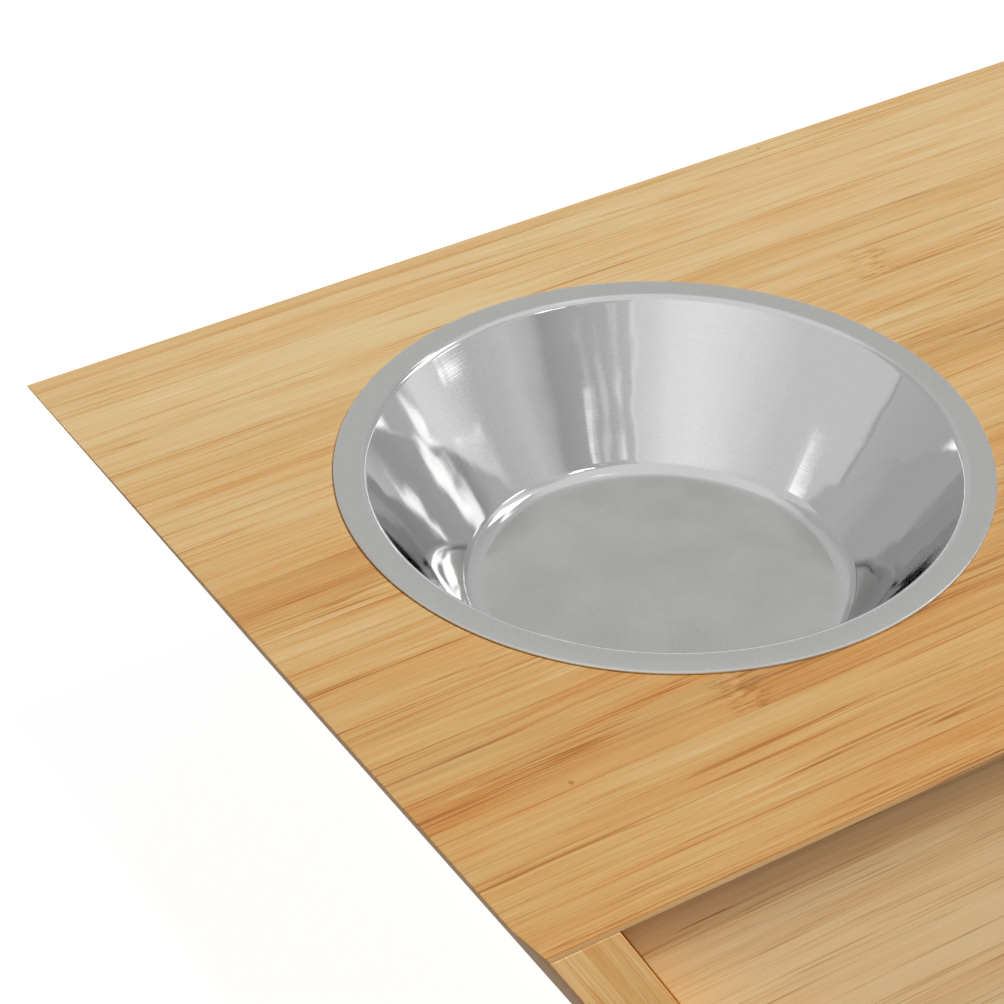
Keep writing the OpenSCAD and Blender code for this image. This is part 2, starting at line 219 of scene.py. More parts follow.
    hair = sum_of(tree, "MULTIPLY_ADD", line(90, 0.95, 0.050, 0.40), 0.55,
                  line(150, 2.1, 0.032, 0.38))
    hair = sum_of(tree, "MULTIPLY", hair, sum_of(tree, "MULTIPLY_ADD", lined, 0.75, 0.12))
    pale = line(110, 1.7, 0.040, 0.46)
    warm = streaks(tree, own_along, bent, own_deep, 70, 11.0, 2.0)

    # The glue line between two strips shows as a broken hairline
    seam = sum_of(tree, "MINIMUM", in_strip, sum_of(tree, "SUBTRACT", 1.0, in_strip))
    seam = graded(tree, seam, 0.024, 0.004)
    seam = sum_of(tree, "MULTIPLY", seam,
                  graded(tree, streaks(tree, own_along, strip, own_deep, 60, 1.0, 2.0), 0.38, 0.60))

    # All of it adds up to a depth of colour
    depth = sum_of(tree, "MULTIPLY_ADD", tone, 0.46, 0.14)
    for noise, amount in ((broad, 0.32), (middle, 0.26), (fine, 0.30), (speck, 0.10)):
        depth = sum_of(tree, "ADD", depth,
                       sum_of(tree, "MULTIPLY_ADD", noise, amount, -amount * 0.5))
    for mark, amount in ((hair, 0.42), (seam, 0.34 * lines), (pale, -0.10), (crowded, 0.05),
                         (dashes, 0.22), (crease, -0.04)):
        depth = sum_of(tree, "MULTIPLY_ADD", mark, amount, depth)
    for knot_x, knot_y, knot_r in knots:
        away = joined(tree, "ShaderNodeVectorMath", {
            0: joined(tree, "ShaderNodeCombineXYZ", {0: along, 1: across}).outputs[0],
            1: (knot_x, knot_y, 0)}, operation="DISTANCE").outputs["Value"]
        depth = sum_of(tree, "MULTIPLY_ADD", graded(tree, away, knot_r, 0.3 * knot_r), 0.34, depth)
    if arris:
        # A thin darker line runs along the front arris. Below it the lip's front face is made
        # paler: painted light, for light that falls short on forward faces.
        front = sum_of(tree, "MULTIPLY", graded(tree, across, arris[0] + 0.42, arris[0] + 0.28),
                       graded(tree, deep, arris[1] - 0.30, arris[1] - 0.20))
        depth = sum_of(tree, "MULTIPLY_ADD", front, 0.30, depth)
        # Painted light: the lip's front face below the arris is paler
        face = graded(tree, across, arris[0] + 0.10, arris[0] + 0.02)
        depth = sum_of(tree, "MULTIPLY_ADD", face, -0.11, depth)
    colour = ramp_of(tree, depth, colours)
    tint = joined(tree, "ShaderNodeHueSaturation", {
        "Hue": graded(tree, warm, 0.3, 0.7, 0.506, 0.494, smooth=False),
        "Saturation": graded(tree, warm, 0.3, 0.7, 0.95, 1.05, smooth=False),
        "Color": colour,
    })
    bump = joined(tree, "ShaderNodeBump", {
        "Height": sum_of(tree, "MULTIPLY_ADD", hair, -0.6, fine),
        "Strength": 0.25, "Distance": 0.06 * MM,
    })
    shader = joined(tree, "ShaderNodeBsdfPrincipled", {
        "Base Color": tint.outputs[0],
        "Roughness": graded(tree, fine, 0.2, 0.8, gloss - 0.05, gloss + 0.07, smooth=False),
        "Specular IOR Level": shine, "Normal": bump.outputs[0],
    })
    joined(tree, "ShaderNodeOutputMaterial", {0: shader.outputs[0]})
    return material


def plain_mesh(piece):
    """Works a piece's modifiers into its mesh."""
    made = bpy.data.meshes.new_from_object(
        piece.evaluated_get(bpy.context.evaluated_depsgraph_get()))
    piece.modifiers.clear()
    piece.data = made
    return piece


SMALL_HOLE = 0.9 * MM           # length of the facets that only drilled holes are made of
ARRIS = math.radians(25)        # an edge that bends more is rounded over
CREASE = math.radians(42)       # and one that bends more than this stays sharp


def eased_board(node, name, material, body, ease=0.4 * MM):
    """The board of a CAD node with its arrises rounded over, in the node's place."""
    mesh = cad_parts[node].data.copy()
    shape = bmesh.new()
    shape.from_mesh(mesh)
    bmesh.ops.remove_doubles(shape, verts=shape.verts, dist=WELD)
    bmesh.ops.dissolve_limit(shape, angle_limit=math.radians(0.5), use_dissolve_boundaries=False,
                             verts=shape.verts, edges=shape.edges)
    for face in shape.faces:
        face.smooth = True
    # The outer arrises are rounded, while inner corners and small holes stay crisp
    rounded = shape.edges.layers.float.new("bevel_weight_edge")
    for edge in shape.edges:
        bend = edge.calc_face_angle_signed(0.0)
        edge[rounded] = float(bend > ARRIS and edge.calc_length() > SMALL_HOLE)
    shape.to_mesh(mesh)
    shape.free()
    stored = mesh.attributes.get("custom_normal")
    if stored:
        mesh.attributes.remove(stored)
    mesh.materials.clear()
    mesh.materials.append(material)
    piece = in_scene(name, mesh)
    round_over = piece.modifiers.new("round over", "BEVEL")
    round_over.width = ease
    round_over.segments = 3
    round_over.limit_method = "WEIGHT"
    round_over.use_clamp_overlap = False
    plain_mesh(piece).data.set_sharp_from_angle(angle=CREASE)
    flat = piece.modifiers.new("flat faces", "WEIGHTED_NORMAL")
    flat.weight = 100
    flat.keep_sharp = True
    plain_mesh(piece)
    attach(piece, body)
    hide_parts(node)


# One row for each strip of the top, from the back edge to the front: its tone, where its
# knuckle lies along it, and how streaky it is
TOP_STRIPS = [
    (0.38, NO_KNUCKLE, 0.35), (0.18, NO_KNUCKLE, 0.25), (0.18, 0.62, 0.20),
    (0.26, NO_KNUCKLE, 0.30), (0.44, NO_KNUCKLE, 0.40), (0.28, 0.392, 0.20),
    (0.34, 0.72, 0.40), (0.42, NO_KNUCKLE, 0.45), (0.70, 0.55, 0.60),
    (0.38, NO_KNUCKLE, 0.60), (0.44, 0.80, 0.70), (0.54, NO_KNUCKLE, 0.80),
    (0.60, 0.50, 0.85), (0.68, NO_KNUCKLE, 0.90), (0.76, 0.160, 0.85),
    (0.60, 0.66, 0.90), (0.62, NO_KNUCKLE, 0.85), (0.66, NO_KNUCKLE, 0.95),
]
top_low, top_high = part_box("top_board")
strip_shift = -(119.3 + STRIP)  # brings the first glue line to its place by the back edge
top_bamboo = bamboo(
    "bamboo_top", shift=(0, strip_shift, 0), strips=TOP_STRIPS, seed=3,
    arris=(top_low.y / MM + strip_shift, top_high.z / MM),
    knots=((-214.0, -81.8 + strip_shift, 0.9), (-13.8, 121.5 + strip_shift, 0.8)))
eased_board("top_board", "top", top_bamboo, "case", 0.35 * MM)


# ---- End panels ----
# Two panels of the same bamboo that lean in towards the floor, with the fibres running down
# them. The top is housed over them, and screws hold the back panel from outside.

LEAN = math.radians(28)
PLANED_OFF = 3.6    # of the outer layer
# One row for each layer of the boards, as for the top's strips
PANEL_PLIES = [(0.10, 0.3, 0.2), (0.12, 0.7, 0.3), (0.50, 0.5, 0.5), (0.22, 0.2, 0.9)]
# Lighter than the top: painted light, for light that falls short on the panels' forward edges
PAINTED_LIGHT_HONEY = [(stop, (min(0.92, r * 1.20), g * 1.12, b * 1.02)) for stop, (r, g, b) in HONEY]


def leaning(node, sign):
    """The turn that lays a leaning board flat, and what then brings its layers to its face."""
    turn = math.pi / 2 - sign * LEAN
    face = max(-point.co.x * math.sin(turn) + point.co.z * math.cos(turn)
               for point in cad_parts[node].data.vertices) / MM
    return turn, -PLANED_OFF - face


for side, sign in (("left", -1), ("right", 1)):
    turn, to_face = leaning(f"side_panel_{side}", sign)
    panel_bamboo = bamboo(
        f"bamboo_end_{side}", turn=(0, turn, 0), plies=PANEL_PLIES, seed=11 + sign,
        shift=(0, 40.0, to_face), colours=PAINTED_LIGHT_HONEY, gloss=0.50, shine=0.25)
    eased_board(f"side_panel_{side}", f"end_panel_{side}", panel_bamboo, "case")


# ---- Bottom and back ----
# The bottom board is dowelled between the end panels and the back panel is screwed to them.
# Both have their fibres along the case.

bottom_bamboo = bamboo("bamboo_bottom", seed=21, shift=(55, 5, 2))
eased_board("bottom_board", "bottom", bottom_bamboo, "case")
back_bamboo = bamboo("bamboo_back", turn=(math.pi / 2, 0, 0), seed=27, shift=(20, 8, 3))
eased_board("back_panel", "back", back_bamboo, "case")


# ---- Corner blocks and runners ----
# Sanded bamboo without lacquer: four blocks glued and screwed under the top's corners, and two
# strips glued to the bottom board for the drawer to slide on.

SANDED = [
    (0.00, (0.860, 0.690, 0.450)),
    (0.30, (0.770, 0.570, 0.315)),
    (0.52, (0.660, 0.440, 0.200)),
    (0.74, (0.520, 0.300, 0.110)),
    (1.00, (0.300, 0.150, 0.055)),
]
block_bamboo = bamboo("bamboo_blocks", turn=(0, 0, math.pi / 2), seed=31, colours=SANDED,
                      gloss=0.6, lines=0.7)
for corner in ("front_left", "front_right", "back_left", "back_right"):
    eased_board(f"corner_block_{corner}", f"block_{corner}", block_bamboo, "case",
                0.6 * MM)
for side in ("left", "right"):
    eased_board(f"drawer_runner_{side}", f"runner_{side}", block_bamboo, "case",
                0.3 * MM)


# ---- Drawer ----
# A lacquered front with a finger notch, dowelled to two leaning sides, with a back that is
# screwed between them and a thin bottom in grooves.

# Paler and less yellow than the top
STRAW = [
    (0.00, (0.890, 0.710, 0.415)),
    (0.25, (0.845, 0.612, 0.312)),
    (0.45, (0.730, 0.485, 0.222)),
    (0.65, (0.625, 0.375, 0.152)),
    (0.82, (0.500, 0.262, 0.094)),
    (1.00, (0.350, 0.160, 0.052)),
]
# One row for each strip of the front, from the bottom up, as for the top. The top two rows are dark
# as painted shade under the top's lip, and the rows below paler as painted light where the face
# comes out of that shade.
FRONT_STRIPS_AND_SHADE = [
    (0.30, NO_KNUCKLE, 0.6), (0.26, 0.70, 0.6), (0.34, NO_KNUCKLE, 0.6), (0.16, 0.95, 0.5),
    (0.20, NO_KNUCKLE, 0.7), (0.20, 0.82, 0.5), (0.38, NO_KNUCKLE, 0.9), (0.84, NO_KNUCKLE, 1.0),
    (0.84, 0.75, 1.0),
]
front_bamboo = bamboo("bamboo_drawer_front", turn=(math.pi / 2, 0, 0), seed=43,
                      strips=FRONT_STRIPS_AND_SHADE, colours=STRAW, lines=1.3, shift=(110, 3.5, 4))
eased_board("drawer_front", "drawer_face", front_bamboo, "drawer")
for side, sign in (("left", -1), ("right", 1)):
    # As the end panel is, but with the fibres running to the back
    turn, to_face = leaning(f"drawer_side_{side}", sign)
    side_bamboo = bamboo(f"bamboo_drawer_{side}", turn=(0, turn, -math.pi / 2),
                         shift=(0, 3.0, to_face), seed=51 + sign, colours=SANDED,
                         gloss=0.55, lines=0.8)
    eased_board(f"drawer_side_{side}", f"drawer_wall_{side}", side_bamboo, "drawer")
rear_bamboo = bamboo("bamboo_drawer_back", turn=(math.pi / 2, 0, 0), seed=61, colours=SANDED,
                     gloss=0.55, lines=0.8)
eased_board("drawer_back", "drawer_rear", rear_bamboo, "drawer")
base_bamboo = bamboo("bamboo_drawer_bottom", seed=67, colours=SANDED, gloss=0.55, lines=0.8,
                     shift=(30, 6, 0))
eased_board("drawer_bottom", "drawer_floor", base_bamboo, "drawer", 0.2 * MM)


# ---- Dowels ----
# Turned beech pins, glued into the ends of the boards.

beech, tree = new_finish("beech_pins")
along, across, deep = joined(tree, "ShaderNodeSeparateXYZ", {0: joined(tree, "ShaderNodeMapping", {
    "Vector": joined(tree, "ShaderNodeTexCoord").outputs["Object"], "Scale": IN_MM,
}).outputs[0]}).outputs
fleck = streaks(tree, along, across, deep, 6, 0.5, 3.0)
joined(tree, "ShaderNodeOutputMaterial", {0: joined(tree, "ShaderNodeBsdfPrincipled", {
    "Base Color": ramp_of(tree, fleck, [(0.3, (0.70, 0.47, 0.27)), (0.7, (0.56, 0.33, 0.17))]),
    "Roughness": graded(tree, fleck, 0.2, 0.8, 0.5, 0.65),
}).outputs[0]})
for node in ("case_dowels_left", "case_dowels_right", "drawer_dowels_left", "drawer_dowels_right"):
    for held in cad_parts[node].material_slots:
        held.material = beech


# ---- Bowls ----
# Two bowls pressed from one sheet of stainless steel. The wall and the floor are polished, and
# the flat rim, which lies on the wood, is left with the satin of the sheet.

RIM_R = 84.0        # over the rim
RIM_W = 7.6         # flat of the rim
DEPTH = 40.0        # from the rim's face to the floor
FLOOR_R = 50.0      # to the middle of the corner
CORNER_R = 6.0      # between floor and wall
BEND_R = 2.0        # between wall and rim
SHEET = 1.0         # thickness of the steel


def shape_tree(name, inputs):
    """An empty Geometry Nodes tree with its inputs as (name, kind)."""
    tree = bpy.data.node_groups.new(name, "GeometryNodeTree")
    for label, kind in inputs:
        tree.interface.new_socket(label, in_out="INPUT", socket_type=f"NodeSocket{kind}")
    tree.interface.new_socket("Geometry", in_out="OUTPUT", socket_type="NodeSocketGeometry")
    return tree, joined(tree, "NodeGroupInput").outputs


def shaped(piece, tree, values):
    """Works a tree with its inputs' values into a piece's mesh."""
    work = piece.modifiers.new(tree.name, "NODES")
    work.node_group = tree
    sockets = {item.name: item.identifier for item in tree.interface.items_tree
               if item.item_type == "SOCKET" and item.in_out == "INPUT"}
    for label, value in values.items():
        work[sockets[label]] = value
    return plain_mesh(piece)


turner, given = shape_tree("turned", [
    ("Outline", "Geometry"), ("Facets", "Int"), ("Centre", "Vector"), ("Finish", "Material")])
# The outline is carried round a circle of one metre, so its radii are given less a metre
circle = joined(turner, "GeometryNodeCurvePrimitiveCircle",
                {"Resolution": given["Facets"], "Radius": 1.0}, mode="RADIUS")
profile = joined(turner, "GeometryNodeMeshToCurve", {0: given["Outline"]})
swept = joined(turner, "GeometryNodeCurveToMesh",
               {0: circle.outputs[0], 1: profile.outputs[0], "Fill Caps": False})
closed = joined(turner, "GeometryNodeMergeByDistance", {0: swept.outputs[0], "Distance": WELD})
placed = joined(turner, "GeometryNodeTransform",
                {0: closed.outputs[0], "Translation": given["Centre"]})
smoothed = joined(turner, "GeometryNodeSetShadeSmooth", {0: placed.outputs[0]})
realized = joined(turner, "GeometryNodeRealizeInstances", {0: smoothed.outputs[0]})
finished = joined(turner, "GeometryNodeSetMaterial",
                  {0: realized.outputs[0], "Material": given["Finish"]})
joined(turner, "NodeGroupOutput", {0: finished.outputs[0]})


def turned(name, outline, centre, finish, facets=160):
    """A round piece turned from an outline of (radius, height) in millimetres about a centre."""
    mesh = bpy.data.meshes.new(name)
    # The sweep lays the outline's X outwards and its Y downwards
    points = [(r * MM - 1.0, -z * MM, 0.0) for r, z in outline]
    mesh.from_pydata(points, [(i, i + 1) for i in range(len(points) - 1)], [])
    piece = shaped(in_scene(name, mesh), turner,
                   {"Facets": facets, "Centre": centre, "Finish": finish})
    shape = bmesh.new()
    shape.from_mesh(piece.data)
    bmesh.ops.remove_doubles(shape, verts=shape.verts, dist=WELD)
    bmesh.ops.recalc_face_normals(shape, faces=shape.faces)
    shape.to_mesh(piece.data)
    shape.free()
    piece.data.set_sharp_from_angle(angle=math.radians(35))
    return piece


def arc(r, z, radius, start, end, steps):
    """Points of an arc about (r, z), with its angles in degrees."""
    return [(r + radius * math.cos(math.radians(start + (end - start) * k / steps)),
             z + radius * math.sin(math.radians(start + (end - start) * k / steps)))
            for k in range(steps + 1)]


def steel(name, centre_x, centre_y):
    """Polished steel with a satin rim, turned about the bowl's own axis."""
    material, tree = new_finish(name)
    local = joined(tree, "ShaderNodeMapping", {
        "Vector": joined(tree, "ShaderNodeTexCoord").outputs["Object"],
        "Location": (-centre_x / MM, -centre_y / MM, 0), "Scale": IN_MM,
    }).outputs[0]
    x, y, z = joined(tree, "ShaderNodeSeparateXYZ", {0: local}).outputs
    radius = sum_of(tree, "SQRT", sum_of(tree, "ADD", sum_of(tree, "MULTIPLY", x, x),
                                         sum_of(tree, "MULTIPLY", y, y)))
    # The rim's satin runs round it, and the polished wall keeps a trace of the press
    turning = sum_of(tree, "MULTIPLY", sum_of(tree, "ARCTAN2", y, x), 75.0)
    brushed = streaks(tree, turning, radius, z, 40, 0.25, 2.0)
    swell = joined(tree, "ShaderNodeTexNoise", {"Vector": local, "Scale": 0.045, "Detail": 1.5})
    on_rim = graded(tree, radius, RIM_R - RIM_W + 0.6, RIM_R - RIM_W + 1.5)
    on_floor = graded(tree, radius, FLOOR_R - 1.0, FLOOR_R - 6.0)
    grain = joined(tree, "ShaderNodeTexNoise", {"Vector": local, "Scale": 1.6, "Detail": 3.0})
    roughness = sum_of(tree, "MULTIPLY_ADD", on_rim, 0.27, 0.07)
    roughness = sum_of(tree, "MULTIPLY_ADD", on_floor, 0.015, roughness)
    roughness = sum_of(tree, "ADD", roughness,
                       graded(tree, grain.outputs[0], 0.3, 0.7, -0.012, 0.012))
    press = joined(tree, "ShaderNodeBump", {
        "Height": swell.outputs[0], "Strength": 0.35, "Distance": 1.2 * MM,
    })
    scratch = joined(tree, "ShaderNodeBump", {
        "Height": brushed, "Strength": 0.15, "Distance": 0.02 * MM, "Normal": press.outputs[0],
    })
    colour = ramp_of(tree, sum_of(tree, "MULTIPLY_ADD", brushed, 0.3, grain.outputs[0]), [
        (0.3, (0.600, 0.605, 0.600)), (0.9, (0.670, 0.672, 0.668))])
    matt = joined(tree, "ShaderNodeMix", {0: on_rim, 6: (1, 1, 1, 1), 7: (0.925, 0.925, 0.905, 1)},
                  data_type="RGBA").outputs[2]
    colour = joined(tree, "ShaderNodeMix", {0: 1.0, 6: colour, 7: matt},
                    data_type="RGBA", blend_type="MULTIPLY").outputs[2]
    # The floor is duller, and cloudy where the press has marked it
    cloud = joined(tree, "ShaderNodeTexNoise", {"Vector": local, "Scale": 0.05, "Detail": 2.0})
    dull = ramp_of(tree, cloud.outputs[0], [(0.35, (0.88, 0.87, 0.85)), (0.65, (0.96, 0.95, 0.93))])
    colour = joined(tree, "ShaderNodeMix", {0: on_floor, 6: colour, 7: dull},
                    data_type="RGBA", blend_type="MULTIPLY").outputs[2]
    joined(tree, "ShaderNodeOutputMaterial", {0: joined(tree, "ShaderNodeBsdfPrincipled", {
        "Base Color": colour, "Metallic": 1.0, "Roughness": roughness,
        "Normal": scratch.outputs[0],
    }).outputs[0]})
    return material


wall_angle = math.degrees(math.atan2(DEPTH, RIM_R - RIM_W - FLOOR_R))
floor_arc_r = FLOOR_R - CORNER_R * math.tan(math.radians(wall_angle / 2))
mouth_arc_r = RIM_R - RIM_W + (BEND_R + SHEET) * math.tan(math.radians(wall_angle / 2))


def sheet_face(rim_z, below):
    """The face of the pressed sheet at a depth below its upper face, from floor to rim."""
    return (
        arc(floor_arc_r, rim_z - DEPTH + CORNER_R, CORNER_R + below, -90, wall_angle - 90, 14)
        + arc(mouth_arc_r, rim_z - BEND_R - SHEET, BEND_R + SHEET - below, 90 + wall_angle, 90, 8))


for side in ("left", "right"):
    low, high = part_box(f"bowl_{side}")
    middle_x, middle_y, rim_z = (low.x + high.x) / 2, (low.y + high.y) / 2, high.z / MM
    # The sheared outer edge of the rim is rounded over
    outer = arc(RIM_R - SHEET / 2, rim_z - SHEET / 2, SHEET / 2, 90, -90, 8)
    outline = ([(0, rim_z - DEPTH)] + sheet_face(rim_z, 0) + outer
               + sheet_face(rim_z, SHEET)[::-1] + [(0, rim_z - DEPTH - SHEET)])
    bowl = turned(f"steel_bowl_{side}", outline, (middle_x, middle_y, 0),
                  steel(f"steel_{side}", middle_x, middle_y))
    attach(bowl, f"bowl_{side}")
    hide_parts(f"bowl_{side}")


# ---- Feet ----
# Four moulded rubber feet, each with two grooves in its sole and a sunk seat for the screw that
# holds it to the bottom board.

FOOT_R = 12.0           # at the bottom board
SOLE_R = 10.5           # on the floor
FOOT_H = 5.0
MOUTH_R = 4.5           # of the opening in the sole
MOUTH_EDGE = 0.5        # rounding of its rim
SEAT_H = 2.5            # height of the screw's seat
SEAT_R = 3.6            # clear of the screw's head
BORE_R = 1.85           # and of its shank
SOLE_EDGE = 0.8         # rounding of the sole's rim
GROOVES = (6.4, 8.3)    # inner radius of each groove
GROOVE = 0.7            # width of a groove
GROOVE_D = 0.4          # depth of a groove
DRAFT = 0.1             # slope of moulded walls
TOP_EDGE = 0.3          # rounding at the bottom board

rubber, tree = new_finish("foot_rubber")
pits = joined(tree, "ShaderNodeTexNoise", {
    "Vector": joined(tree, "ShaderNodeTexCoord").outputs["Object"], "Scale": 900.0, "Detail": 3.0})
joined(tree, "ShaderNodeOutputMaterial", {0: joined(tree, "ShaderNodeBsdfPrincipled", {
    "Base Color": ramp_of(tree, pits.outputs[0], [(0.3, (0.018, 0.018, 0.019)),
                                                  (0.7, (0.034, 0.033, 0.033))]),
    "Roughness": graded(tree, pits.outputs[0], 0.3, 0.7, 0.62, 0.8),
    "Normal": joined(tree, "ShaderNodeBump", {
        "Height": pits.outputs[0], "Strength": 0.3, "Distance": 0.1 * MM}).outputs[0],
}).outputs[0]})

side_angle = math.degrees(math.atan2(FOOT_H, FOOT_R - SOLE_R))
sole_arc_r = SOLE_R - SOLE_EDGE * math.tan(math.radians(side_angle / 2))
sole = [(BORE_R, FOOT_H), (BORE_R, SEAT_H + SEAT_R - BORE_R), (SEAT_R, SEAT_H), (MOUTH_R, SEAT_H)]
sole += arc(MOUTH_R + MOUTH_EDGE, MOUTH_EDGE, MOUTH_EDGE, 180, 270, 5)
for inner in GROOVES:
    sole += [(inner, 0), (inner + DRAFT, GROOVE_D), (inner + GROOVE - DRAFT, GROOVE_D),
             (inner + GROOVE, 0)]
sole += arc(sole_arc_r, SOLE_EDGE, SOLE_EDGE, -90, side_angle - 90, 7)
sole += arc(FOOT_R - DRAFT - TOP_EDGE, FOOT_H - TOP_EDGE, TOP_EDGE, 0, 90, 4)
for corner in ("front_left", "front_right", "back_left", "back_right"):
    low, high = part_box(f"foot_{corner}")
    foot = turned(f"rubber_foot_{corner}", sole + sole[:1],
                  ((low.x + high.x) / 2, (low.y + high.y) / 2, low.z), rubber, facets=72)
    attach(foot, "case")
    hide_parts(f"foot_{corner}")


# ---- Screws ----
# Zinc-plated countersunk wood screws with a cross recess. They hold the corner blocks, the back
# panel, the feet, and the back and bottom of the drawer.

SCREW_HEAD_R = 3.5 * MM
SCREW_HEAD_H = 1.75 * MM
SCREW_R = 1.75 * MM     # over the thread
SCREW_CORE = 1.25 * MM
SCREW_PITCH = 1.6 * MM
SCREW_POINT = 3.5 * MM  # length of the pointed end
SCREW_SIDES = 16        # facets round it
SCREW_RING = 0.25 * MM  # height of each ring of them
RUN_OUT = 1.0 * MM      # over which the thread rises below the head
RECESS_LONG, RECESS_WIDE, RECESS_TALL = 3.8 * MM, 0.85 * MM, 3.2 * MM

zinc, tree = new_finish("zinc_plate")
cloud = joined(tree, "ShaderNodeTexNoise", {
    "Vector": joined(tree, "ShaderNodeTexCoord").outputs["Object"], "Scale": 700.0, "Detail": 2.0})
joined(tree, "ShaderNodeOutputMaterial", {0: joined(tree, "ShaderNodeBsdfPrincipled", {
    "Base Color": ramp_of(tree, cloud.outputs[0], [(0.35, (0.50, 0.52, 0.55)),
                                                   (0.65, (0.63, 0.62, 0.60))]),
    "Metallic": 1.0, "Roughness": graded(tree, cloud.outputs[0], 0.3, 0.7, 0.26, 0.42),
}).outputs[0]})

screw_tree, size = shape_tree("wood_screws", [
    ("Heads", "Geometry"), ("Length", "Float"), ("Head radius", "Float"),
    ("Head height", "Float"), ("Thread radius", "Float"), ("Core radius", "Float"),
    ("Pitch", "Float"), ("Point length", "Float"), ("Turn seed", "Int"), ("Finish", "Material")])
tree = screw_tree

# A rod of one metre's radius, whose head is at zero, is drawn in to the screw's own radii
rod = joined(tree, "GeometryNodeMeshCylinder", {
    "Vertices": SCREW_SIDES, "Side Segments": sum_of(tree, "DIVIDE", size["Length"], SCREW_RING),
    "Radius": 1.0, "Depth": size["Length"]}, fill_type="NGON")
half = sum_of(tree, "MULTIPLY", size["Length"], -0.5)
rod = joined(tree, "GeometryNodeTransform", {
    0: rod.outputs[0],
    "Translation": joined(tree, "ShaderNodeCombineXYZ", {2: half}).outputs[0]})
at_x, at_y, at_z = joined(tree, "ShaderNodeSeparateXYZ", {
    0: joined(tree, "GeometryNodeInputPosition").outputs[0]}).outputs
down = sum_of(tree, "MULTIPLY", at_z, -1.0)
turned_by = sum_of(tree, "DIVIDE", sum_of(tree, "ARCTAN2", at_y, at_x), 2 * math.pi)
wound = sum_of(tree, "FRACT", sum_of(tree, "ADD", turned_by,
                                     sum_of(tree, "DIVIDE", down, size["Pitch"])))
ridge = graded(tree, sum_of(tree, "ABSOLUTE", sum_of(tree, "SUBTRACT", wound, 0.5)),
               0.32, 0.0, smooth=False)
run_out = graded(tree, sum_of(tree, "SUBTRACT", down, size["Head height"]), 0.0, RUN_OUT,
                 smooth=False)
raised = sum_of(tree, "SUBTRACT", size["Thread radius"], size["Core radius"])
raised = sum_of(tree, "MULTIPLY", raised, sum_of(tree, "MULTIPLY", ridge, run_out))
body = sum_of(tree, "ADD", size["Core radius"], raised)
to_end = sum_of(tree, "SUBTRACT", size["Length"], down)
body = sum_of(tree, "MULTIPLY", body, graded(
    tree, sum_of(tree, "DIVIDE", to_end, size["Point length"]), 0.0, 1.0, 0.10, 1.0,
    smooth=False))
slope = sum_of(tree, "DIVIDE",
               sum_of(tree, "SUBTRACT", size["Head radius"], size["Thread radius"]),
               size["Head height"])
cone = sum_of(tree, "SUBTRACT", size["Head radius"], sum_of(tree, "MULTIPLY", down, slope))
reach = sum_of(tree, "MAXIMUM", cone, body)
rod = joined(tree, "GeometryNodeSetPosition", {
    0: rod.outputs[0],
    "Position": joined(tree, "ShaderNodeCombineXYZ", {
        0: sum_of(tree, "MULTIPLY", at_x, reach), 1: sum_of(tree, "MULTIPLY", at_y, reach),
        2: at_z}).outputs[0]})

# Two crossed wedges cut the recess
wedges = joined(tree, "GeometryNodeJoinGeometry")
for wide, deep in ((RECESS_LONG, RECESS_WIDE), (RECESS_WIDE, RECESS_LONG)):
    wedge = joined(tree, "GeometryNodeMeshCube", {"Size": (wide, deep, RECESS_TALL)})
    tree.links.new(wedge.outputs[0], wedges.inputs[0])
narrowed = graded(tree, at_z, -RECESS_TALL / 2, RECESS_TALL / 2, 0.45, 1.55, smooth=False)
recess = joined(tree, "GeometryNodeSetPosition", {
    0: wedges.outputs[0],
    "Position": joined(tree, "ShaderNodeCombineXYZ", {
        0: sum_of(tree, "MULTIPLY", at_x, narrowed),
        1: sum_of(tree, "MULTIPLY", at_y, narrowed), 2: at_z}).outputs[0]})
screw = joined(tree, "GeometryNodeMeshBoolean", {
    "Mesh 1": rod.outputs[0], "Mesh 2": recess.outputs[0], "Self Intersection": True},
    operation="DIFFERENCE", solver="EXACT")

# One at each point, its head facing the way stored there and turned by chance
facing = joined(tree, "GeometryNodeInputNamedAttribute", {"Name": "facing"},
                data_type="FLOAT_VECTOR").outputs[0]
upright = joined(tree, "FunctionNodeAlignRotationToVector", {"Vector": facing}, axis="Z")
chance_turn = joined(tree, "FunctionNodeRandomValue", {
    2: 0.0, 3: math.pi / 2, "Seed": size["Turn seed"]}, data_type="FLOAT").outputs[1]
twisted = joined(tree, "FunctionNodeRotateRotation", {
    0: upright.outputs[0],
    1: joined(tree, "FunctionNodeAxisAngleToRotation", {
        "Axis": (0, 0, 1), "Angle": chance_turn}).outputs[0]}, rotation_space="LOCAL")
placed = joined(tree, "GeometryNodeInstanceOnPoints", {
    "Points": size["Heads"], "Instance": screw.outputs[0], "Rotation": twisted.outputs[0]})
realized = joined(tree, "GeometryNodeRealizeInstances", {0: placed.outputs[0]})
finished = joined(tree, "GeometryNodeSetMaterial", {
    0: realized.outputs[0], "Material": size["Finish"]})
joined(tree, "NodeGroupOutput", {0: finished.outputs[0]})


